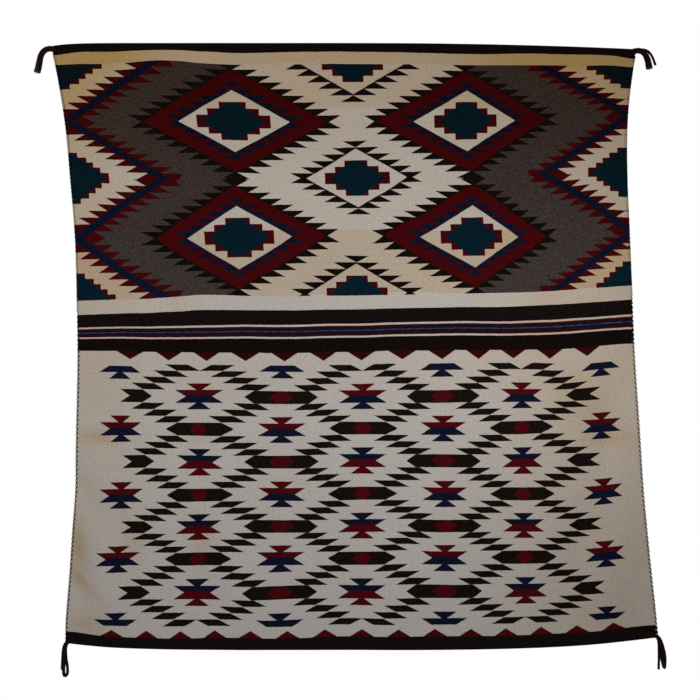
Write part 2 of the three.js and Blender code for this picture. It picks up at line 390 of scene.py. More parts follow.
class LotAndWarmLight(NamedTuple):
    """Cream yarn from one of its lots, whose warmth also paints warm light on the upper cloth: its first
    row, how warm it is, and over how many rows it begins.
    """

    first: float
    warmth: float
    blur: float


# Warmth of the cream down the cloth: real yarn lots, and painted warm light that is strongest at the upper
# end
CREAM_LOTS_AND_WARM_LIGHT = (
    LotAndWarmLight(0.0, 0.64, 0.5),
    LotAndWarmLight(3.3, 0.47, 0.6),
    LotAndWarmLight(6.2, 0.51, 0.6),
    LotAndWarmLight(10.0, 0.28, 0.8),
    LotAndWarmLight(18.0, 0.18, 6.0),
    LotAndWarmLight(29.4, 0.43, 0.5),
    LotAndWarmLight(39.1, 0.12, 0.3),
    LotAndWarmLight(55.0, 0.04, 6.0),
    LotAndWarmLight(78.0, 0.0, 8.0),
)


class CreaseShadeAndStain(NamedTuple):
    """A tan mark on the cream around x, z: partly a stain, partly painted shade in a fold's trough."""

    x: float
    z: float
    half_width: float
    half_length: float
    lean: float
    strength: float


# Tan marks where the folds sink back: partly stains, partly painted crease shade
CREASE_SHADES_AND_STAINS = (
    CreaseShadeAndStain(-0.510, -0.825, 0.050, 0.018, 0.0, 0.40),
    CreaseShadeAndStain(-0.556, -1.050, 0.016, 0.050, 0.1, 0.50),
    CreaseShadeAndStain(-0.552, -1.124, 0.016, 0.040, 0.9, 0.45),
    CreaseShadeAndStain(-0.443, -1.050, 0.026, 0.060, 0.1, 0.22),
    CreaseShadeAndStain(-0.300, -1.055, 0.028, 0.060, 0.0, 0.28),
    CreaseShadeAndStain(-0.300, -0.827, 0.060, 0.012, 0.0, 0.18),
    CreaseShadeAndStain(-0.540, -1.215, 0.045, 0.022, 0.0, 0.30),
    CreaseShadeAndStain(0.495, -0.750, 0.060, 0.050, 0.3, 0.20),
    CreaseShadeAndStain(0.560, -0.825, 0.060, 0.022, 0.0, 0.22),
    CreaseShadeAndStain(-0.350, -0.545, 0.022, 0.030, 0.0, 0.16),
    CreaseShadeAndStain(0.420, -0.545, 0.030, 0.030, 0.0, 0.12),
)


# Shapes

def smooth_values(stations, values, at):
    """A curve through a table, with the slope at each station the mean of its two sides."""
    stations = np.asarray(stations, float)
    values = np.asarray(values, float)
    at = np.asarray(at, float)
    secants = np.diff(values, axis=0) / np.diff(stations)[:, None]
    slopes = np.vstack((secants[:1], (secants[:-1] + secants[1:]) / 2, secants[-1:]))
    index = np.clip(np.searchsorted(stations, at, side="right") - 1, 0, len(stations) - 2)
    span = (stations[index + 1] - stations[index])[:, None]
    along = (at - stations[index])[:, None] / span
    left = 1 - along
    return (
        values[index] * (1 + 2 * along) * left**2
        + slopes[index] * span * along * left**2
        + values[index + 1] * along**2 * (3 - 2 * along)
        - slopes[index + 1] * span * along**2 * left
    )


def fold_depth(x, z):
    """How far the folds carry the cloth back at x, z."""
    depth = np.zeros_like(x)
    for fold in FOLDS:
        down = z - fold.z
        across = x - fold.x + fold.lean * down
        depth += fold.depth * np.exp(-((across / fold.half_width) ** 2) - (down / fold.half_length) ** 2)
    return depth


def cloth_points(share, row):
    """The middle of the cloth's thickness, by shares across and rows down."""
    table = np.array(SECTIONS)
    values = smooth_values(table[:, 0], table[:, 1:], row)
    left, right, left_rise, right_rise, left_bend, right_bend = values.T
    x = left + (right - left) * share
    to_left = np.clip(1 - 2 * share, 0, None)
    to_right = np.clip(2 * share - 1, 0, None)
    z = left_rise * to_left**left_bend + right_rise * to_right**right_bend - ROW_PITCH * row
    return np.column_stack((x, fold_depth(x, z), z))


def weave_place(share, row):
    """The pattern's share and row at a place on the cloth, where the weave has wandered."""
    drop = np.zeros_like(row)
    slide = np.zeros_like(row)
    for wander in WANDERS:
        across = (share - wander.share) / wander.half_share
        down = (row - wander.row) / wander.half_rows
        near = np.exp(-(across**2) - down**2)
        drop += wander.drop * near
        slide += wander.slide * near
    return share - slide, row - drop


def edge_line(share, first_row, last_row, count):
    """Points along the line outside a side edge on which its cord lies, from the bottom up."""
    rows = np.linspace(last_row, first_row, count)
    points = cloth_points(np.full(count, share), rows)
    points[:, 0] += math.copysign(CORD_OFFSET, share - 0.5)
    return points


def sheet_faces(columns, rows):
    """Faces of a closed sheet: a grid of points in front, one behind it and the rims between."""
    count = columns * rows
    corner = (np.arange(rows - 1)[:, None] * columns + np.arange(columns - 1)).ravel()
    front = np.column_stack((corner, corner + columns, corner + columns + 1, corner + 1))
    top = np.arange(columns - 1)
    bottom = top + columns * (rows - 1)
    left = np.arange(rows - 1) * columns
    right = left + columns - 1
    edges = ((top, top + 1), (bottom + 1, bottom), (left + columns, left), (right, right + columns))
    rims = [np.column_stack((start, end, end + count, start + count)) for start, end in edges]
    return np.vstack((front, front[:, ::-1] + count, *rims))


def new_piece(name, mesh):
    """A finished piece in the scene, on the body and with its material slot."""
    piece = bpy.data.objects.new(name, mesh)
    bpy.context.scene.collection.objects.link(piece)
    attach(piece, BODY)
    return piece


def joined(name, meshes):
    """One mesh of several that share a material."""
    whole = bmesh.new()
    for mesh in meshes:
        whole.from_mesh(mesh)
    result = bpy.data.meshes.new(name)
    whole.to_mesh(result)
    whole.free()
    result.materials.append(meshes[0].materials[0])
    result.polygons.foreach_set("material_index", np.zeros(len(result.polygons), int))
    for mesh in meshes:
        bpy.data.meshes.remove(mesh)
    return result


# Nodes

class Wire:
    """A node's output that takes part in Python expressions."""

    def __init__(self, board, socket):
        self.board = board
        self.socket = socket

    def output(self, name):
        """Another output of the same node."""
        return Wire(self.board, self.socket.node.outputs[name])

    def __add__(self, other):
        return self.board.math("ADD", self, other)

    __radd__ = __add__

    def __sub__(self, other):
        return self.board.math("SUBTRACT", self, other)

    def __rsub__(self, other):
        return self.board.math("SUBTRACT", other, self)

    def __mul__(self, other):
        return self.board.math("MULTIPLY", self, other)

    __rmul__ = __mul__

    def __truediv__(self, other):
        return self.board.math("DIVIDE", self, other)

    def __mod__(self, other):
        return self.board.math("FLOORED_MODULO", self, other)

    def __lt__(self, other):
        return self.board.math("LESS_THAN", self, other)

    def __gt__(self, other):
        return self.board.math("GREATER_THAN", self, other)

    def __or__(self, other):
        return self.board.math("MAXIMUM", self, other)

    def __abs__(self):
        return self.board.math("ABSOLUTE", self)

    def floor(self):
        return self.board.math("FLOOR", self)

    def fraction(self):
        return self.board.math("FRACT", self)

    def sine(self):
        return self.board.math("SINE", self)

    def cosine(self):
        return self.board.math("COSINE", self)

    def swing(self, reach):
        """Distance from the nearest even multiple of reach."""
        return self.board.math("PINGPONG", self, reach)

    def least(self, other):
        return self.board.math("MINIMUM", self, other)

    def bell(self):
        """Falls off softly from 1 where the value is 0."""
        return self.board.math("EXPONENT", -1.0 * self * self)

    def rise(self, low, high):
        """A smooth climb from 0 at low to 1 at high."""
        inputs = {"Value": self, "From Min": low, "From Max": high}
        return self.board.add("ShaderNodeMapRange", {"interpolation_type": "SMOOTHSTEP"}, inputs)


class Board:
    """A node tree that grows from expressions and from calls of add."""

    def __init__(self, tree):
        self.tree = tree

    def add(self, kind, settings=None, inputs=None, out=0):
        """A new node: its settings first, then the values or links of its sockets."""
        node = self.tree.nodes.new(kind)
        for name, value in (settings or {}).items():
            setattr(node, name, value)
        for key, value in (inputs or {}).items():
            socket = node.inputs[key]
            if isinstance(value, Wire):
                self.tree.links.new(value.socket, socket)
            else:
                socket.default_value = value
        if node.outputs:
            return Wire(self, node.outputs[out])
        return node

    def math(self, operation, *values):
        return self.add("ShaderNodeMath", {"operation": operation}, dict(enumerate(values)))

    def blend(self, share, under, over):
        """Two colours mixed by a share from 0 to 1."""
        return self.add("ShaderNodeMix", {"data_type": "RGBA"}, {0: share, 6: under, 7: over}, out=2)

    def tinted(self, colour, tint):
        """A colour times a tint, channel by channel."""
        settings = {"data_type": "RGBA", "blend_type": "MULTIPLY"}
        return self.add("ShaderNodeMix", settings, {0: 1.0, 6: colour, 7: tint}, out=2)

    def scaled(self, vector, factor):
        """A colour or a vector times a value."""
        return self.add("ShaderNodeVectorMath", {"operation": "SCALE"}, {0: vector, "Scale": factor})

    def noise(self, vector, stretch, detail=2.0, roughness=0.5):
        """Soft noise from 0 to 1 on a vector stretched by so many turns a metre each way."""
        placed = self.add("ShaderNodeVectorMath", {"operation": "MULTIPLY"}, {0: vector, 1: stretch})
        return self.add(
            "ShaderNodeTexNoise", None,
            {"Vector": placed, "Scale": 1.0, "Detail": detail, "Roughness": roughness}, out="Fac",
        )


def new_material(name):
    """An empty node material, with its board."""
    material = bpy.data.materials.new(name)
    material.use_nodes = True
    material.node_tree.nodes.clear()
    return material, Board(material.node_tree)


def finish_material(board, sockets, height, bump_depth, bump_strength):
    """The one shader of a wool material, with its fine relief."""
    relief = board.add("ShaderNodeBump", None, {
        "Strength": bump_strength, "Distance": bump_depth, "Height": height,
    })
    shader = board.add("ShaderNodeBsdfPrincipled", None, {**sockets, "Normal": relief})
    board.add("ShaderNodeOutputMaterial", None, {"Surface": shader})


# The woven pattern. Distances across are in units of one row's height.

UPPER_WIDTH = 85.5
LEG_ROWS = 9.0
FIELD_MIDDLE = 2 * LEG_ROWS
LAST_LEG = 3 * LEG_ROWS
HALF_SHARE = 0.508
RIGHT_NARROWING = 0.88
LOWER_WIDTH = 87.5

# Dyed yarns are tinted darker and warmer at the upper end, and lighter and cooler towards the foot of the
# upper field
UPPER_END_TINT = (0.86, 0.80, 0.72, 1.0)
FIELD_FOOT_TINT = (1.08, 1.20, 1.25, 1.0)
UPPER_END_ROW, FIELD_FOOT_ROW = -4.0, 40.0


class Cross(NamedTuple):
    """A stepped cross: its half-width in each row, and its heart's half-width, slope and rows."""

    half_widths: tuple
    heart: float
    heart_slope: float
    heart_rows: float


DIAMOND_CROSS = Cross((5.6, 3.9, 2.0), 4.9, 1.44, 2.88)
SMALL_CROSS = Cross((4.9, 3.3, 1.72), 4.26, 1.22, 2.99)
SIDE_CROSS = Cross((5.9, 4.6, 3.5, 2.5, 1.1), 5.4, 1.04, 4.9)


def serrate_diamond(across, rows, reach, slope, tooth, rim):
    """A diamond whose edge steps out in one tooth to each row."""
    return across < slope * (reach - rows) + tooth * rows.fraction() + rim


def plain_diamond(across, rows, reach, slope):
    """A diamond with straight edges."""
    return across < slope * (reach - rows)


def terraced(across, rows, half_widths):
    """Terraces: one half-width for each row out from the middle."""
    total = 0.0
    for step, width in enumerate(half_widths):
        following = half_widths[step + 1] if step + 1 < len(half_widths) else 0.0
        total = total + (rows < step + 1.0) * (width - following)
    return across < total


def stepped_cross(board, colour, red, teal, across, rows, shape):
    """A red terraced cross with a teal diamond at its heart."""
    colour = board.blend(terraced(across, rows, shape.half_widths), colour, red)
    in_heart = (across < shape.heart - shape.heart_slope * rows) * (rows < shape.heart_rows)
    return board.blend(in_heart, colour, teal)


def by_quarter(values, right, low):
    """The value for the quarter of the field in which a point lies."""
    upper_left, upper_right, lower_left, lower_right = values
    upper = upper_left + (upper_right - upper_left) * right
    lower = lower_left + (lower_right - lower_left) * right
    return upper + (lower - upper) * low


def by_leg(values, field_row):
    """The value for the leg of the zigzag beside which a point lies."""
    total = values[0]
    for leg, (before, after) in enumerate(zip(values, values[1:])):
        total = total + (after - before) * (field_row > LEG_ROWS * (leg + 1))
    return total


def weave_upper_field(board, ground, gray, yarns, share, row):
    """Four serrate diamonds about small ones, between side zigzags."""
    field_row = row - UPPER_FIRST
    row_tint = board.blend(field_row.rise(UPPER_END_ROW, FIELD_FOOT_ROW), UPPER_END_TINT, FIELD_FOOT_TINT)
    dyed = (gray, yarns.red, yarns.navy, yarns.teal)
    gray, red, navy, teal = (board.tinted(yarn, row_tint) for yarn in dyed)
    black = yarns.black
    right = share > HALF_SHARE
    axis, middle, outer, inner, cross = (
        by_quarter(values, right, field_row > FIELD_MIDDLE) for values in zip(*DIAMONDS)
    )
    offset = (share - axis) * (1.0 - 2.0 * right) * UPPER_WIDTH
    inwards = offset > 0.0
    beside = abs(offset) / (outer + (inner - outer) * inwards)
    rows = abs(field_row - middle)

    from_edge = share.least((1.0 - share) / RIGHT_NARROWING) * UPPER_WIDTH
    from_cross = field_row.swing(LEG_ROWS)
    from_diamond = LEG_ROWS - from_cross
    left_start, left_slope, right_start, right_slope = (
        by_leg(values, field_row) for values in zip(*ZIGZAG)
    )
    start = left_start + (right_start - left_start) * right
    slope = left_slope + (right_slope - left_slope) * right
    band_middle = start + slope * from_diamond
    band_half = 1.0
    tooth = 3.3
    blunting = 0.36
    toothless_rows = 2.0
    past_edge = 9.0
    step = from_diamond.fraction()
    notch = 1.0 - blunting * (from_cross < 1.0)
    teeth_in = band_middle + band_half + tooth * (1.0 - notch * step)
    teeth_out = (
        (band_middle - band_half - tooth * step) * (from_diamond > toothless_rows)
        - past_edge * (from_diamond < toothless_rows)
    )

    outer_edge = {"reach": 8.0, "slope": 1.75}
    inner_edge = {"reach": 4.85, "slope": 1.75}
    from_middle = abs(field_row - FIELD_MIDDLE)
    colour = board.blend((from_edge > band_middle) * (1.0 - inwards), ground, gray)
    colour = board.blend(serrate_diamond(beside, rows, **outer_edge, tooth=3.6, rim=0.3), colour, black)
    colour = board.blend(plain_diamond(beside, from_middle, reach=1.05, slope=1.7), colour, black)
    colour = board.blend(plain_diamond(beside, rows, **outer_edge), colour, red)
    colour = board.blend(serrate_diamond(beside, rows, **inner_edge, tooth=3.4, rim=0.2), colour, navy)
    colour = board.blend(plain_diamond(beside, rows, **inner_edge), colour, ground)
    colour = stepped_cross(board, colour, red, teal, beside / cross, rows, DIAMOND_CROSS)

    small_middle = 0.5140 - 0.0083 * (field_row > LAST_LEG)
    across = abs(share - small_middle) * UPPER_WIDTH
    from_small = (field_row + 0.3 * (field_row > LEG_ROWS)).swing(LEG_ROWS)
    line_row = from_small + 0.17
    small_edge = {"reach": 4.82, "slope": 1.655}
    line = serrate_diamond(across, line_row, **small_edge, tooth=3.6, rim=0.3) * (line_row < 6.0)
    colour = board.blend(line, colour, black)
    colour = board.blend(plain_diamond(across, line_row, **small_edge), colour, ground)
    narrowed = across / (1.0 - 0.08 * (field_row < LEG_ROWS) - 0.03 * (field_row > LAST_LEG))
    small_row = 0.93
    colour = stepped_cross(board, colour, red, teal, narrowed, from_small / small_row, SMALL_CROSS)

    colour = board.blend(from_edge < teeth_in, colour, red)
    colour = board.blend(from_edge < band_middle + band_half, colour, navy)
    colour = board.blend(from_edge < band_middle - band_half, colour, red)
    colour = board.blend(from_edge < teeth_out, colour, ground)
    upper = field_row < LEG_ROWS
    spread = 0.98 + 0.17 * upper + 0.12 * right * (field_row < LAST_LEG)
    deep_teal = board.blend(0.35 * upper, teal, black)
    side_row = 0.8
    return stepped_cross(
        board, colour, red, deep_teal, from_edge / spread, from_cross / side_row, SIDE_CROSS,
    )


def triangle_row(board, colour, yarn, place, spacing, count, rows, half_base, height):
    """A row of small triangles that stand on a band."""
    near = abs((place + 0.5).fraction() - 0.5) * (spacing * LOWER_WIDTH)
    slope = height * (1.0 - near / half_base)
    return board.blend((abs(place) < count / 2) * (rows < slope), colour, yarn)


def weave_lower_field(board, ground, dark, yarns, share, row):
    """A lattice of slanted dark steps with bars and two-coloured hourglasses at its knots."""
    column = 12.5
    level = 5.0
    first_knot = 1.9
    stretch = 1.012
    fall = (row - LOWER_FIRST) / (LOWER_LAST - LOWER_FIRST)
    width = 86.2 + 3.3 * fall
    across = (share - 0.5095 + 0.009 * fall) * width
    down = (row - LOWER_FIRST - first_knot) / stretch
    inside = (down > 0.0) * (down < 8 * level)
    within = (down > level) * (down < 7 * level)
    to_bar = across.swing(column)
    to_pair = column - to_bar
    rows = down.swing(level)
    rows_left = level - rows
    side = abs(across)

    # Steps of the lattice, each a row high with a fine gap before the next, and its bars
    step_shift = 1.75
    step_gap = 0.03
    bar_rows = 0.99
    slant = 1.95 - 0.4 * (rows > 4.0)
    step = to_bar + slant * rows.fraction() - step_shift * (rows.floor() - 1.0)
    chain = (step > 3.6) * (step < 7.25 - 0.2 * fall) * (rows.fraction() > step_gap)
    wide_bar = (to_pair < 5.75 - 1.45 * rows_left) * (rows_left < bar_rows) * (side < 2 * column)
    bar = (to_bar < 5.1 - 1.55 * rows) * (rows < bar_rows) * within
    lattice = (chain | wide_bar | bar) * inside * (side < 3 * column)
    colour = board.blend(lattice, ground, dark)

    heart_rows = 0.88
    wide_heart = (to_pair < 1.95 - 1.4 * rows_left) * (rows_left < heart_rows) * (side < 2 * column)
    heart = (to_bar < 1.5 - 1.15 * rows) * (rows < heart_rows) * within
    colour = board.blend((wide_heart | heart) * inside, colour, yarns.rose)

    place = (across / column + 0.5).floor() / 3.0
    fourth = place * place * place * place
    breadth = 0.985 - 0.06 * place - 0.125 * fourth
    at_end = 1.0 - (down > 0.5 * level) * (down < 7.5 * level)

    def hourglass(beside, off):
        """Two rows that widen from a waist, the second from a narrower one."""
        waist = 2.05 - 0.12 * at_end
        wide = (beside < waist + 1.68 * off) * (off < 1.0)
        narrow = (beside < 0.45 + 1.47 * (off - 1.0)) * (off > 1.0) * (off < 2.0)
        return (wide | narrow) * (off > 0.0)

    split = -0.2
    above_pair = ((down + level) % (2 * level)) - level < split
    above_bar = (down % (2 * level)) - level < split
    red_pair = above_pair * (down < 7 * level)
    first = down < 2 * level
    red_bar = above_bar * first + (1.0 - above_bar) * (1.0 - first)

    pair_colour = board.blend(red_pair, yarns.blue, yarns.rose)
    bar_colour = board.blend(red_bar, yarns.blue, yarns.rose)
    sunk = 0.5 * (side > 2.5 * column) * (down < 0.5 * level)
    pairs = hourglass(to_pair / breadth, rows - sunk) * inside * (side < 3.4 * column)
    colour = board.blend(pairs, colour, pair_colour)
    bars = hourglass(to_bar / breadth, rows_left) * inside * (side < 3 * column)
    colour = board.blend(bars, colour, bar_colour)
    top_spacing = 0.0687
    top = (share - 0.011 * ((share - 0.65) / 0.12).bell() - 0.506) / top_spacing
    colour = triangle_row(
        board, colour, yarns.stripe_red, top, top_spacing,
        count=13, rows=row - LOWER_FIRST, half_base=2.05, height=1.3,
    )
    foot_spacing = 0.0612
    foot = (share + 0.0085 * ((share - 0.33) / 0.17).bell() - 0.504) / foot_spacing
    return triangle_row(
        board, colour, yarns.rose, foot, foot_spacing,
        count=15, rows=LOWER_LAST - row, half_base=1.75, height=1.15,
    )


def cream_ground(board, yarns, spot, share, row, patches):
    """The cream yarn: its lots down the cloth, with painted warm light on the upper cloth, at its sides and
    in its upper corners, and tan marks that are partly stains and partly painted crease shade.
    """
    stray_rows = 1.4
    patchiness = 0.16
    most_warmth = 0.95
    lot_row = row + (patches - 0.5) * stray_rows
    warmth = CREAM_LOTS_AND_WARM_LIGHT[0].warmth + patchiness * (patches - 0.5)
    # Warmth down the cloth: partly yarn lots, partly painted warm light on the upper cloth
    for before, lot_and_light in zip(CREAM_LOTS_AND_WARM_LIGHT, CREAM_LOTS_AND_WARM_LIGHT[1:]):
        begun = lot_row.rise(lot_and_light.first - lot_and_light.blur / 2, lot_and_light.first + lot_and_light.blur / 2)
        warmth = warmth + (lot_and_light.warmth - before.warmth) * begun
    # Painted warm light: the cream made warmer near both sides and in the upper corners
    left_warm_light = (1.0 - share).rise(0.82, 0.98) * (0.30 - 0.0022 * row)
    right_warm_light = share.rise(0.62, 0.92) * 0.25
    corner_warm_light = 0.18 * abs(share - 0.47).rise(0.2, 0.36) * (1.0 - row.rise(2.0, 7.0))
    warmth = warmth + left_warm_light + right_warm_light + corner_warm_light
    x, z = spot.output("X"), spot.output("Z")
    # Tan marks in the fold troughs: partly stains, partly painted crease shade
    for shade_and_stain in CREASE_SHADES_AND_STAINS:
        down = z - shade_and_stain.z
        across = (x - shade_and_stain.x + shade_and_stain.lean * down) / shade_and_stain.half_width
        warmth = warmth + shade_and_stain.strength * across.bell() * (down / shade_and_stain.half_length).bell()
    return board.blend(warmth.least(most_warmth) | 0.0, yarns.cream, yarns.warm_cream)


def wool_material(cloth, yarns):
    """The woven wool: pattern, yarn lots, painted warm light and crease shade on the cream, heather and the
    ribs of the weave.
    """
    material, board = new_material("woven_wool")
    uv = board.add("ShaderNodeUVMap", {"uv_map": WEAVE_UV})
    place = board.add("ShaderNodeTexCoord", None, None, out="Object")
    flat = board.add("ShaderNodeSeparateXYZ", None, {0: uv})
    spot = board.add("ShaderNodeSeparateXYZ", None, {0: place})
    true_share = flat.output("X")
    true_row = (1.0 - flat.output("Y")) * ROW_COUNT

    slow = board.noise(place, (7.0, 1.0, 7.0))
    slow_too = board.noise(place, (6.0, 3.0, 11.0))
    quick = board.noise(place, (70.0, 1.0, 70.0))
    slow_rows, quick_rows = 0.35, 0.1
    slow_share, quick_share = 0.004, 0.0012
    row = true_row + (slow - 0.5) * slow_rows + (quick - 0.5) * quick_rows
    wandering = true_share + (slow_too - 0.5) * slow_share + (quick - 0.5) * quick_share
    warps = cloth.flat_width / cloth.warp_pitch
    share = ((wandering * (2 * warps)).floor() + 0.5) / (2 * warps)

    streaks = board.noise(place, (5.0, 1.0, 420.0), detail=3.0)
    fibres = board.noise(place, (190.0, 190.0, 620.0), detail=3.0, roughness=0.7)
    patches = board.noise(place, (5.0, 1.0, 9.0), detail=3.0)
    specks = board.noise(place, (120.0, 1.0, 20.0))
    flecks = board.noise(place, (240.0, 1.0, 330.0))

    ground = cream_ground(board, yarns, spot, share, row, patches)
    gray = board.blend(fibres.rise(0.3, 0.75), yarns.gray, yarns.pale_gray)
    dark = board.blend(fibres.rise(0.45, 0.8), yarns.dark, yarns.rusty_dark)

    upper = weave_upper_field(board, ground, gray, yarns, share, row)
    colour = board.blend((row > UPPER_FIRST) * (row < UPPER_LAST), ground, upper)
    lower = weave_lower_field(board, ground, dark, yarns, share, row)
    colour = board.blend((row > LOWER_FIRST) * (row < LOWER_LAST), colour, lower)
    for band in BANDS:
        cover = (row > band.first) * (row < band.last)
        if band.yarn == "pale_line":
            cover = cover * (0.35 + 0.65 * specks.rise(0.4, 0.6))
        colour = board.blend(cover, colour, getattr(yarns, band.yarn))
    colour = board.scaled(colour, 0.86 + 0.18 * streaks + 0.10 * fibres)
    # The darker the yarn, the deeper its flecks
    lightness = board.add("ShaderNodeRGBToBW", None, {0: colour})
    fleck_depth = 4.0 - 2.0 * lightness.rise(0.004, 0.009) - 1.3 * lightness.rise(0.012, 0.04)
    colour = board.scaled(colour, 1.0 + fleck_depth * (flecks - 0.5))

    warp = true_share * warps
    weft = true_row * (ROW_PITCH / cloth.weft_pitch)
    rib = (warp.fraction() * math.pi).sine()
    offset = (warp.floor() * 0.5).fraction()
    bead = 0.5 + 0.5 * ((weft + offset) * (2 * math.pi)).cosine()
    height = rib * (0.5 + 0.5 * bead) + 0.5 * fibres

    finish_material(board, {
        "Base Color": colour,
        "Roughness": 0.86 + 0.12 * fibres,
        "Specular IOR Level": 0.01,
    }, height, bump_depth=0.0006, bump_strength=0.5)
    return material


def yarn_material(name, colour, pale, tip):
    """Dark plied yarn with lighter hairs and, on a tassel, sun-faded cut ends."""
    material, board = new_material(name)
    place = board.add("ShaderNodeTexCoord", None, None, out="Object")
    hairs = board.noise(place, (900.0, 900.0, 350.0), detail=3.0, roughness=0.7)
    blotches = board.noise(place, (60.0, 60.0, 60.0))
    along = board.add("ShaderNodeAttribute", {"attribute_name": TIP_SHARE}, None, out="Fac")
    yarn = board.blend(hairs.rise(0.45, 0.8) * 0.7, colour, pale)
    yarn = board.scaled(yarn, 0.7 + 0.6 * blotches)
    yarn = board.blend(along.rise(0.0, 0.8) * 0.8, yarn, tip)
    finish_material(board, {
        "Base Color": yarn,
        "Roughness": 0.8 + 0.15 * hairs,
        "Specular IOR Level": 0.1,
    }, hairs, bump_depth=0.0005, bump_strength=0.6)
    return material


# Geometry Nodes

class YarnTree:
    """A geometry tree with named inputs, and its board."""

    def __init__(self, name, inputs):
        self.tree = bpy.data.node_groups.new(name, "GeometryNodeTree")
        self.board = Board(self.tree)
        self.sockets = {}
        self.tree.interface.new_socket("Path", in_out="INPUT", socket_type="NodeSocketGeometry")
        for label, (kind, default) in inputs.items():
            socket = self.tree.interface.new_socket(label, in_out="INPUT", socket_type=kind)
            if default is not None:
                socket.default_value = default
            self.sockets[label] = socket
        self.tree.interface.new_socket("Yarn", in_out="OUTPUT", socket_type="NodeSocketGeometry")
        self.entry = self.board.add("NodeGroupInput")

    def given(self, label):
        return self.entry.output(label)

    def finish(self, geometry):
        """Ends the tree in one plain mesh with its material."""
        real = self.board.add("GeometryNodeRealizeInstances", None, {"Geometry": geometry})
        smooth = self.board.add("GeometryNodeSetShadeSmooth", None, {"Geometry": real})
        painted = self.board.add("GeometryNodeSetMaterial", None, {
            "Geometry": smooth, "Material": self.given("Material"),
        })
        self.board.add("NodeGroupOutput", None, {0: painted})

    def run(self, lines, values):
        """The mesh that the tree makes of lines of points, as plain data."""
        curve = bpy.data.curves.new(self.tree.name, "CURVE")
        curve.dimensions = "3D"
        for line in lines:
            spline = curve.splines.new("POLY")
            spline.points.add(len(line) - 1)
            spline.points.foreach_set("co", np.column_stack((line, np.ones(len(line)))).ravel())
        carrier = bpy.data.objects.new(self.tree.name, curve)
        bpy.context.scene.collection.objects.link(carrier)
        modifier = carrier.modifiers.new(self.tree.name, "NODES")
        modifier.node_group = self.tree
        for label, value in values.items():
            modifier[self.sockets[label].identifier] = value
        depsgraph = bpy.context.evaluated_depsgraph_get()
        mesh = bpy.data.meshes.new_from_object(carrier.evaluated_get(depsgraph), depsgraph=depsgraph)
        carrier.modifiers.remove(modifier)
        bpy.data.objects.remove(carrier)
        bpy.data.curves.remove(curve)
        if not mesh or not mesh.polygons:
            raise RuntimeError(f"{self.tree.name} made no mesh")
        mesh.materials.clear()
        mesh.materials.append(values["Material"])
        mesh.polygons.foreach_set("material_index", np.zeros(len(mesh.polygons), int))
        return mesh


def plied_yarn_tree(name, plies):
    """Yarn along each path: its plies lie side by side and turn about each other."""
    yarn = YarnTree(name, {
        "Ply Radius": ("NodeSocketFloat", 0.001),
        "Lay Radius": ("NodeSocketFloat", 0.001),
        "Twist Length": ("NodeSocketFloat", 0.02),
        "Step": ("NodeSocketFloat", 0.0015),
        "Faded Share": ("NodeSocketFloat", 0.1),
        "Sides": ("NodeSocketInt", 6),
        "Material": ("NodeSocketMaterial", None),
    })
    board = yarn.board
    path = board.add("GeometryNodeResampleCurve", {"mode": "LENGTH"}, {
        "Curve": yarn.given("Path"), "Length": yarn.given("Step"),
    })
    spline = board.add("GeometryNodeSplineParameter")
    from_end = (1.0 - spline.output("Factor")) / yarn.given("Faded Share")
    fades = yarn.given("Faded Share") > 0.0
    path = board.add("GeometryNodeStoreNamedAttribute", {"data_type": "FLOAT", "domain": "POINT"}, {
        "Geometry": path, "Name": TIP_SHARE, "Value": (1.0 - from_end) * fades,
    })
    tangent = board.add("GeometryNodeInputTangent")
    normal = board.add("GeometryNodeInputNormal")
    binormal = board.add("ShaderNodeVectorMath", {"operation": "CROSS_PRODUCT"}, {0: tangent, 1: normal})
    turn = spline.output("Length") * (2 * math.pi) / yarn.given("Twist Length")
    section = board.add("GeometryNodeCurvePrimitiveCircle", {"mode": "RADIUS"}, {
        "Resolution": yarn.given("Sides"), "Radius": yarn.given("Ply Radius"),
    })
    join = board.tree.nodes.new("GeometryNodeJoinGeometry")
    for ply in range(plies):
        angle = turn + 2 * math.pi * ply / plies
        towards = board.scaled(normal, angle.cosine() * yarn.given("Lay Radius"))
        beside = board.scaled(binormal, angle.sine() * yarn.given("Lay Radius"))
        offset = board.add("ShaderNodeVectorMath", {"operation": "ADD"}, {0: towards, 1: beside})
        laid = board.add("GeometryNodeSetPosition", None, {"Geometry": path, "Offset": offset})
        tube = board.add("GeometryNodeCurveToMesh", None, {
            "Curve": laid, "Profile Curve": section, "Fill Caps": True,
        })
        board.tree.links.new(tube.socket, join.inputs[0])
    yarn.finish(Wire(board, join.outputs[0]))
    return yarn


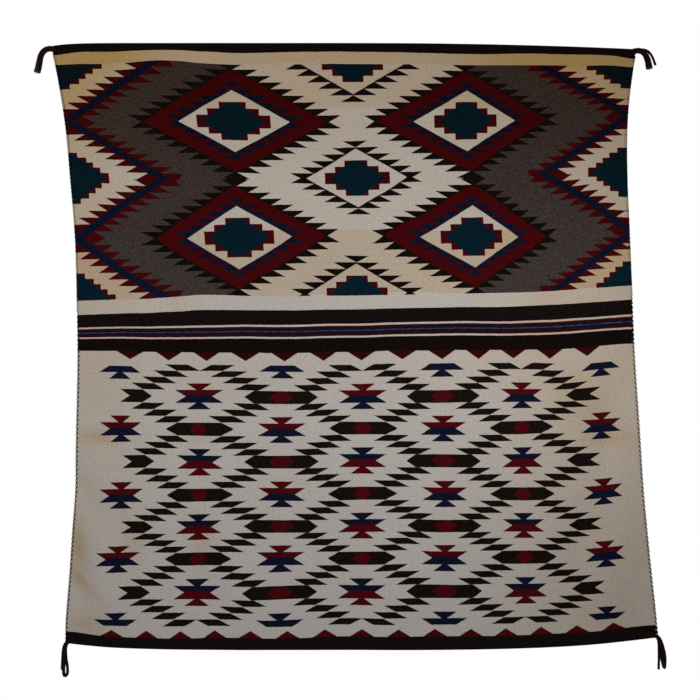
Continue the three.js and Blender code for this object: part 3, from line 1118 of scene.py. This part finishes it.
def weft_turn_tree(name):
    """Groups of weft that turn round a side cord, a pitch apart."""
    yarn = YarnTree(name, {
        "Pitch": ("NodeSocketFloat", 0.0095),
        "Wefts": ("NodeSocketInt", 4),
        "Weft Radius": ("NodeSocketFloat", 0.0006),
        "Turn Radius": ("NodeSocketFloat", 0.0026),
        "Start Angle": ("NodeSocketFloat", 0.0),
        "Sweep Angle": ("NodeSocketFloat", 4.8),
        "Unevenness": ("NodeSocketFloat", 0.0004),
        "Material": ("NodeSocketMaterial", None),
    })
    board = yarn.board
    wefts = yarn.given("Wefts")
    length = board.add("GeometryNodeCurveLength", None, {"Curve": yarn.given("Path")})
    turns = (length / yarn.given("Pitch")).floor()
    points = board.add("GeometryNodePoints", None, {"Count": turns * wefts})
    index = board.add("GeometryNodeInputIndex")
    turn = (index / wefts).floor()
    weft = index - turn * wefts
    stray = board.add("FunctionNodeRandomValue", {"data_type": "FLOAT"}, {
        "Min": -1.0, "Max": 1.0, "ID": index, "Seed": TURN_SEED,
    }, out=1)
    packed_width = 1.9
    spread = (weft - (wefts - 1.0) * 0.5) * (yarn.given("Weft Radius") * packed_width)
    place = (turn + 0.5) * yarn.given("Pitch") + spread + stray * yarn.given("Unevenness")
    spot = board.add("GeometryNodeSampleCurve", {"mode": "LENGTH", "data_type": "FLOAT"}, {
        "Curves": yarn.given("Path"), "Length": place,
    }, out="Position")
    points = board.add("GeometryNodeSetPosition", None, {"Geometry": points, "Position": spot})
    upright = board.add("FunctionNodeAlignRotationToVector", {"axis": "Z"}, {
        "Vector": spot.output("Tangent"),
    })
    arc_points = 9
    weft_sides = 5
    arc = board.add("GeometryNodeCurveArc", {"mode": "RADIUS"}, {
        "Resolution": arc_points, "Radius": yarn.given("Turn Radius"),
        "Start Angle": yarn.given("Start Angle"), "Sweep Angle": yarn.given("Sweep Angle"),
    })
    section = board.add("GeometryNodeCurvePrimitiveCircle", {"mode": "RADIUS"}, {
        "Resolution": weft_sides, "Radius": yarn.given("Weft Radius"),
    })
    weft_turn = board.add("GeometryNodeCurveToMesh", None, {
        "Curve": arc, "Profile Curve": section, "Fill Caps": True,
    })
    copies = board.add("GeometryNodeInstanceOnPoints", None, {
        "Points": points, "Instance": weft_turn, "Rotation": upright,
    })
    yarn.finish(copies)
    return yarn


# Settings

def length_property(name, description, default):
    return bpy.props.FloatProperty(
        name=name, description=description, default=default, min=0.0, unit="LENGTH", precision=5,
    )


def colour_property(name, description, default):
    return bpy.props.FloatVectorProperty(
        name=name, description=description, default=(*default, 1.0),
        size=4, min=0.0, max=1.0, subtype="COLOR",
    )


def place_property(name, description, default):
    return bpy.props.FloatProperty(name=name, description=description, default=default, unit="LENGTH")


def power_property(name, description, default):
    return bpy.props.FloatProperty(name=name, description=description, default=default, unit="POWER")


def count_property(name, description, default):
    return bpy.props.IntProperty(name=name, description=description, default=default)


class SerapeCloth(bpy.types.PropertyGroup):
    """Sizes of the woven sheet."""

    flat_width: length_property("Flat width", "Width of the cloth on the loom", 1.19)
    flat_length: length_property("Flat length", "Length of the cloth on the loom", ROW_PITCH * ROW_COUNT)
    thickness: length_property("Thickness", "Thickness of the cloth", 0.003)
    rim: length_property("Rim", "Width over which the edge rounds off", 0.0025)
    lap: length_property("Lap", "How far the weave laps over a side cord", 0.0010)
    upper_lap: length_property("Upper lap", "How far it laps over the cord above the stripes", 0.0036)
    unevenness: length_property("Unevenness", "How far the hand weave ripples", 0.0007)
    warp_pitch: length_property("Warp pitch", "From one warp rib to the next", 0.0032)
    weft_pitch: length_property("Weft pitch", "From one weft bead to the next", 0.0022)
    cells_across: count_property("Cells across", "Mesh cells across", 196)
    cells_down: count_property("Cells down", "Mesh cells down", 210)


class SerapeYarns(bpy.types.PropertyGroup):
    """Colours of the yarns."""

    cream: colour_property("Cream", "White ground", (0.42, 0.39, 0.365))
    # Also paints warm light at the sides, upper corners and upper end, and crease shade in the fold troughs
    warm_cream: colour_property("Warm cream", "Yellowed lots of the ground", (0.34, 0.21, 0.068))
    dark: colour_property("Dark", "Dark brown bands and outlines", (0.0066, 0.0042, 0.0034))
    black: colour_property("Black", "Outlines and band of the upper end", (0.0053, 0.0033, 0.0026))
    foot_dark: colour_property("Foot dark", "Dark band of the lower end", (0.0077, 0.0051, 0.0047))
    rusty_dark: colour_property("Rusty dark", "Reddish hairs in the dark yarn", (0.016, 0.0085, 0.0065))
    red: colour_property("Red", "Red yarn of the upper field", (0.042, 0.0017, 0.0024))
    stripe_red: colour_property("Stripe red", "Deeper red of the fine stripes", (0.027, 0.0022, 0.0033))
    rose: colour_property("Rose", "Red yarn of the lower field", (0.057, 0.0026, 0.0042))
    navy: colour_property("Navy", "Dark blue yarn of the upper field", (0.0038, 0.0052, 0.0142))
    blue: colour_property("Blue", "Blue yarn of the lower field", (0.0046, 0.0064, 0.0185))
    teal: colour_property("Teal", "Blue-green yarn", (0.0018, 0.0093, 0.0148))
    gray: colour_property("Gray", "Carded gray ground", (0.024, 0.0155, 0.0130))
    pale_gray: colour_property("Pale gray", "White hairs in the gray", (0.056, 0.041, 0.036))
    pale_line: colour_property("Pale line", "Fine line in the stripes", (0.045, 0.050, 0.080))
    cord: colour_property("Cord", "Side cords", (0.0075, 0.0045, 0.0036))
    tassel: colour_property("Tassel", "Corner tassels", (0.0095, 0.0027, 0.0018))
    tip: colour_property("Tip", "Cut ends of the tassels", (0.045, 0.026, 0.012))


class SerapeCords(bpy.types.PropertyGroup):
    """Sizes of the side cords and of the weft that turns round them."""

    ply_radius: length_property("Ply radius", "Half the thickness of one ply", 0.00105)
    lay_radius: length_property("Lay radius", "From the cord's middle to a ply's middle", 0.0010)
    twist_length: length_property("Twist length", "Length of one full twist", 0.019)
    turn_pitch: length_property("Turn pitch", "From one group of weft to the next", 0.0095)
    weft_radius: length_property("Weft radius", "Half the thickness of a weft", 0.00062)
    turn_radius: length_property("Turn radius", "From the cord's middle to the weft's middle", 0.0025)
    wefts: count_property("Wefts", "Wefts in one group", 4)


class SerapeTassels(bpy.types.PropertyGroup):
    """Sizes of the corner tassels."""

    ply_radius: length_property("Ply radius", "Half the thickness of one ply", 0.0016)
    lay_radius: length_property("Lay radius", "From the strand's middle to a ply's middle", 0.0014)
    twist_length: length_property("Twist length", "Length of one full twist", 0.014)
    fray_length: length_property("Fray length", "How far hairs reach past a cut end", 0.0018)
    hairs: count_property("Hairs", "Hairs at each cut end", 6)


class SerapeStage(bpy.types.PropertyGroup):
    """The floor, the light and the camera."""

    view_width: length_property("View width", "Width that the camera sees at the cloth", 1.465)
    view_x: place_property("View x", "Middle of the view", 0.0136)
    view_z: place_property("View z", "Middle of the view", -0.6426)
    camera_distance: length_property("Camera distance", "From the camera to the cloth", 4.5)
    floor_drop: length_property("Floor drop", "From the lowest tassel to the floor", 0.42)
    floor_size: length_property("Floor size", "Side of the floor", 3.4)
    key_power: power_property("Key light", "Main soft light", 19.3)
    side_power: power_property("Side light", "Small light", 1.69)
    back_power: power_property("Back light", "Soft light behind", 26.0)
    surround: bpy.props.FloatProperty(name="Surround", description="Light from all round", default=0.155)


# Operators

class SERAPE_OT_cloth(bpy.types.Operator):
    """Weaves the sheet with its folds, and its material"""

    bl_idname = "serape.cloth"
    bl_label = "Weave cloth"

    def execute(self, context):
        cloth = context.scene.serape_cloth
        width = PANEL_HIGH.x - PANEL_LOW.x
        height = ROW_PITCH * ROW_COUNT
        across = self.stations(width, cloth.cells_across, cloth.rim)
        down = self.stations(height, cloth.cells_down, cloth.rim)
        station, fall = (grid.ravel() for grid in np.meshgrid(across, down))
        below = np.interp(fall * ROW_COUNT, (UPPER_LAST, LOWER_FIRST), (0, 1))
        lap = cloth.upper_lap + (cloth.lap - cloth.upper_lap) * below
        share = station + (2 * station - 1) * lap / width
        middle = cloth_points(share, fall * ROW_COUNT)
        middle[:, 1] += [self.ripple(point, cloth.unevenness) for point in middle]

        from_side = np.minimum(station, 1 - station) * width
        from_rim = np.minimum(from_side, np.minimum(fall, 1 - fall) * height)
        least_rounding = 0.02
        rounding = np.clip(from_rim / cloth.rim, least_rounding, 1)
        half = cloth.thickness / 2 * np.sqrt(1 - (1 - rounding) ** 2)
        front, back = middle.copy(), middle.copy()
        front[:, 1] -= half
        back[:, 1] += half

        faces = sheet_faces(len(across), len(down))
        mesh = bpy.data.meshes.new("serape_cloth")
        mesh.from_pydata(np.vstack((front, back)).tolist(), [], faces.tolist())
        mesh.polygons.foreach_set("use_smooth", np.ones(len(faces), bool))
        woven_share, woven_row = weave_place(share, fall * ROW_COUNT)
        weave = np.tile(np.column_stack((woven_share, 1 - woven_row / ROW_COUNT)), (2, 1))
        mesh.uv_layers.new(name=WEAVE_UV).data.foreach_set("uv", weave[faces.ravel()].ravel())
        mesh.materials.append(wool_material(cloth, context.scene.serape_yarns))
        mesh.validate()
        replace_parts(new_piece("serape_cloth", mesh), "woven_panel")
        return {"FINISHED"}

    @staticmethod
    def stations(length, cells, rim):
        """Shares along a side: close together where the rim rounds off, then even."""
        close = np.array(RIM_STATIONS) * rim / length
        even = np.linspace(close[-1], 1 - close[-1], cells + 1)
        return np.concatenate((close[:-1], even, 1 - close[-2::-1]))

    @staticmethod
    def ripple(point, depth):
        """How far the hand weave stands back at a point: slow waves with quicker ones on them."""
        slow, quick = 9.0, 27.0
        place = Vector(point)
        return depth * (noise.noise(place * slow) + 0.5 * noise.noise(place * quick))


class SERAPE_OT_cords(bpy.types.Operator):
    """Twines the two side cords and turns the weft round them"""

    bl_idname = "serape.cords"
    bl_label = "Twine side cords"

    def execute(self, context):
        cords = context.scene.serape_cords
        yarns = context.scene.serape_yarns
        twine = plied_yarn_tree("twined cord", 2)
        turns = weft_turn_tree("weft turns")
        cord_yarn = yarn_material("selvage_yarn", yarns.cord, yarns.rusty_dark, yarns.rusty_dark)
        wool = bpy.data.objects["serape_cloth"].data.materials[0]
        sweep = math.radians(280)
        twist_steps = 12
        for side, share, facing, upper_wefts in (("left", 0.0, math.pi, 7), ("right", 1.0, 0.0, 8)):
            line = edge_line(share, CORD_FIRST_ROW, CORD_LAST_ROW, CORD_POINTS)
            mesh = twine.run([line], {
                "Ply Radius": cords.ply_radius, "Lay Radius": cords.lay_radius,
                "Twist Length": cords.twist_length, "Step": cords.twist_length / twist_steps,
                "Sides": PLY_SIDES, "Material": cord_yarn,
            })
            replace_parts(new_piece(f"twined_cord_{side}", mesh), f"selvage_cord_{side}")

            zones = (
                (edge_line(share, CORD_FIRST_ROW, CORD_SHOWN_ROW, TURN_POINTS), upper_wefts),
                (edge_line(share, CORD_SHOWN_ROW, CORD_LAST_ROW, TURN_POINTS), cords.wefts),
            )
            mesh = joined(f"weft_turns_{side}", [turns.run([zone], {
                "Pitch": cords.turn_pitch, "Wefts": wefts,
                "Weft Radius": cords.weft_radius, "Turn Radius": cords.turn_radius,
                "Start Angle": facing - sweep / 2, "Sweep Angle": sweep, "Material": wool,
            }) for zone, wefts in zones])
            self.lay_uv(mesh, share)
            new_piece(f"weft_turns_{side}", mesh)
        return {"FINISHED"}

    @staticmethod
    def lay_uv(mesh, share):
        """Gives the turns the colours that the weave has at its edge."""
        rows = np.linspace(0, ROW_COUNT, EDGE_POINTS)
        heights = cloth_points(np.full(EDGE_POINTS, share), rows)[:, 2]
        points = np.empty(len(mesh.vertices) * 3)
        mesh.vertices.foreach_get("co", points)
        row = np.interp(-points[2::3], -heights, rows)
        inset = 0.004
        share, row = weave_place(np.full(len(row), abs(share - inset)), row)
        weave = np.column_stack((share, 1 - row / ROW_COUNT))
        corners = np.empty(len(mesh.loops), int)
        mesh.loops.foreach_get("vertex_index", corners)
        mesh.uv_layers.new(name=WEAVE_UV).data.foreach_set("uv", weave[corners].ravel())


class SERAPE_OT_tassels(bpy.types.Operator):
    """Ties the four corner tassels"""

    bl_idname = "serape.tassels"
    bl_label = "Tie corner tassels"

    def execute(self, context):
        sizes = context.scene.serape_tassels
        yarns = context.scene.serape_yarns
        plied = plied_yarn_tree("tassel yarn", 3)
        hair = plied_yarn_tree("frayed hair", 1)
        material = yarn_material("tassel_yarn", yarns.tassel, yarns.rusty_dark, yarns.tip)
        twist_steps = 11
        hair_radius = 0.00017
        hair_steps = 4
        hair_sides = 3
        laid = {
            "Ply Radius": sizes.ply_radius, "Lay Radius": sizes.lay_radius,
            "Twist Length": sizes.twist_length, "Step": sizes.twist_length / twist_steps,
            "Sides": PLY_SIDES, "Material": material,
        }
        draw = np.random.default_rng(FRAY_SEED)
        for tassel in TASSELS:
            corner = cloth_points(np.array([tassel.share]), np.array([tassel.row]))[0]
            head = corner + np.array((tassel.knot[0], 0.0, tassel.knot[1]))
            lines = [head + self.strand_line(strand) for strand in tassel.strands]
            meshes = [plied.run([line], {**laid, "Faded Share": strand.faded})
                      for strand, line in zip(tassel.strands, lines)]
            meshes.append(plied.run([self.cord_lead(tassel, head)], {**laid, "Faded Share": 0.0}))
            hairs = [line for strand, points in zip(tassel.strands, lines)
                     if not self.returns(strand) for line in self.fray(points, sizes, draw)]
            meshes.append(hair.run(hairs, {
                "Ply Radius": hair_radius, "Lay Radius": 0.0, "Twist Length": 1.0,
                "Step": sizes.fray_length / hair_steps, "Sides": hair_sides, "Material": material,
            }))
            piece = new_piece(f"tied_{tassel.name}", joined(tassel.name, meshes))
            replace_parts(piece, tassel.name)
        return {"FINISHED"}

    @staticmethod
    def returns(strand):
        """Whether a strand is a loop that comes back to the head."""
        return strand.path[-1] == strand.path[0]

    def strand_line(self, strand):
        """Points of a strand from the head, opened out to its place in the tassel."""
        path = np.array(strand.path, float)
        chord = np.concatenate(((0,), np.cumsum(np.linalg.norm(np.diff(path, axis=0), axis=1))))
        at = np.linspace(0, chord[-1], STRAND_POINTS)
        x, z = smooth_values(chord, path, at).T
        along = at / chord[-1]
        from_head = along
        if self.returns(strand):
            opened_share = 0.25
            from_head = np.clip(np.minimum(along, 1 - along) / opened_share, 0, 1)
        opening = 0.65 + 0.35 * from_head
        tangent = np.column_stack((np.gradient(x), np.gradient(z)))
        tangent /= np.linalg.norm(tangent, axis=1)[:, None]
        return np.column_stack((
            x + opening * strand.side * tangent[:, 1],
            opening * strand.depth,
            z - opening * strand.side * tangent[:, 0],
        ))

    @staticmethod
    def cord_lead(tassel, head):
        """The yarn that runs from the side cord's end into the head."""
        row = min(max(tassel.row, CORD_FIRST_ROW), CORD_LAST_ROW)
        cord_end = edge_line(tassel.share, row, row, 2)[0]
        return cord_end + (head - cord_end) * np.linspace(0, 1, LEAD_POINTS)[:, None]

    @staticmethod
    def fray(points, sizes, draw):
        """Short hairs that spread from a strand's cut end."""
        root_spread = 0.0007
        way_spread = 0.3
        droop = np.array((0.0, 0.0, -0.3))
        share = np.linspace(0, 1, HAIR_POINTS)[:, None]
        end = points[-1]
        ahead = (end - points[-4]) / np.linalg.norm(end - points[-4])
        for _ in range(sizes.hairs):
            start = end + draw.normal(0, root_spread, 3)
            way = ahead + draw.normal(0, way_spread, 3)
            bend = way * share + droop * share**2
            yield start + bend * sizes.fray_length * draw.uniform(0.4, 1.0)


class Light(NamedTuple):
    """A soft light of the stage: its place, and its width and height."""

    name: str
    place: tuple
    size: tuple


LIGHTS = (
    Light("key", (-0.41, -1.40, -0.23), (2.0, 0.5)),
    Light("side", (0.49, -0.55, -0.57), (0.5, 0.5)),
    Light("back", (0.5, 2.4, 0.2), (1.8, 1.8)),
)
FLOOR_SHADE = (0.74, 0.74, 0.73, 1.0)
FLOOR_PALE = (0.80, 0.80, 0.79, 1.0)
FLOOR_FORWARD = 0.6
WHITE = (1.0, 1.0, 1.0, 1.0)


class SERAPE_OT_stage(bpy.types.Operator):
    """Lays the floor and sets the light and the camera"""

    bl_idname = "serape.stage"
    bl_label = "Set stage"

    def execute(self, context):
        stage = context.scene.serape_stage
        scene = context.scene
        scene.view_settings.view_transform = "Standard"
        aim = Vector((stage.view_x, 0.0, stage.view_z))
        self.floor(stage)
        self.surround(scene, stage.surround)
        for light in LIGHTS:
            power = getattr(stage, f"{light.name}_power")
            self.soft_light(f"{light.name} light", Vector(light.place), aim, light.size, power)

        camera = bpy.data.cameras.new("front camera")
        camera.lens = camera.sensor_width * stage.camera_distance / stage.view_width
        holder = bpy.data.objects.new("front camera", camera)
        holder.location = aim - Vector((0.0, stage.camera_distance, 0.0))
        holder.rotation_euler = (math.pi / 2, 0.0, 0.0)
        scene.collection.objects.link(holder)
        scene.camera = holder
        return {"FINISHED"}

    @staticmethod
    def floor(stage):
        """A plain pale floor below the lowest tassel."""
        material, board = new_material("pale_floor")
        place = board.add("ShaderNodeTexCoord", None, None, out="Object")
        cloudy = board.noise(place, (1.5, 1.5, 1.5))
        finish_material(board, {
            "Base Color": board.blend(cloudy, FLOOR_SHADE, FLOOR_PALE),
            "Roughness": 0.9,
        }, cloudy, bump_depth=0.0005, bump_strength=0.1)
        height = CAD_BOX[0].z - stage.floor_drop
        half = stage.floor_size / 2
        front, back = -half - FLOOR_FORWARD, half - FLOOR_FORWARD
        corners = [(-half, front), (half, front), (half, back), (-half, back)]
        mesh = bpy.data.meshes.new("floor")
        mesh.from_pydata([(x, y, height) for x, y in corners], [], [(0, 1, 2, 3)])
        mesh.materials.append(material)
        floor = bpy.data.objects.new("floor", mesh)
        bpy.context.scene.collection.objects.link(floor)
        floor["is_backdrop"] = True

    @staticmethod
    def surround(scene, strength):
        """White beyond the object, with a softer share of it as light."""
        scene.world = bpy.data.worlds.new("white surround")
        scene.world.use_nodes = True
        scene.world.node_tree.nodes.clear()
        board = Board(scene.world.node_tree)
        seen = board.add("ShaderNodeLightPath", None, None, out="Is Camera Ray")
        backdrop = board.add("ShaderNodeBackground", None, {"Color": WHITE, "Strength": 1.0})
        light = board.add("ShaderNodeBackground", None, {"Color": WHITE, "Strength": strength})
        both = board.add("ShaderNodeMixShader", None, {0: seen, 1: light, 2: backdrop})
        board.add("ShaderNodeOutputWorld", None, {"Surface": both})

    @staticmethod
    def soft_light(name, place, aim, size, power):
        """An area light that looks at the aim and isn't seen itself."""
        light = bpy.data.lights.new(name, "AREA")
        light.shape = "RECTANGLE"
        light.size, light.size_y = size
        light.energy = power
        holder = bpy.data.objects.new(name, light)
        holder.location = place
        holder.rotation_euler = (aim - place).to_track_quat("-Z", "Y").to_euler()
        holder.visible_camera = False
        bpy.context.scene.collection.objects.link(holder)


class SERAPE_PT_sidebar(bpy.types.Panel):
    """The serape's sizes, colours and makers"""

    bl_idname = "SERAPE_PT_sidebar"
    bl_label = "Serape"
    bl_space_type = "VIEW_3D"
    bl_region_type = "UI"
    bl_category = "Serape"

    def draw(self, context):
        for operator, settings in zip(OPERATORS, (("cloth", "yarns"), ("cords",), ("tassels",), ("stage",))):
            box = self.layout.box()
            box.operator(operator.bl_idname)
            for group in settings:
                values = getattr(context.scene, f"serape_{group}")
                for name in values.__annotations__:
                    box.prop(values, name)


GROUPS = {
    "serape_cloth": SerapeCloth,
    "serape_yarns": SerapeYarns,
    "serape_cords": SerapeCords,
    "serape_tassels": SerapeTassels,
    "serape_stage": SerapeStage,
}
OPERATORS = (SERAPE_OT_cloth, SERAPE_OT_cords, SERAPE_OT_tassels, SERAPE_OT_stage)


def register():
    for name, group in GROUPS.items():
        bpy.utils.register_class(group)
        setattr(bpy.types.Scene, name, bpy.props.PointerProperty(type=group))
    for operator in OPERATORS:
        bpy.utils.register_class(operator)
    bpy.utils.register_class(SERAPE_PT_sidebar)


def unregister():
    bpy.utils.unregister_class(SERAPE_PT_sidebar)
    for operator in reversed(OPERATORS):
        bpy.utils.unregister_class(operator)
    for name, group in reversed(GROUPS.items()):
        delattr(bpy.types.Scene, name)
        bpy.utils.unregister_class(group)


def main():
    register()
    bpy.ops.serape.cloth()
    bpy.ops.serape.cords()
    bpy.ops.serape.tassels()
    bpy.ops.serape.stage()

    boxes = {"cad": CAD_BOX, "visual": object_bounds()}
    {name: [list(corner) for corner in box] for name, box in boxes.items()}


if __name__ == "__main__":
    main()
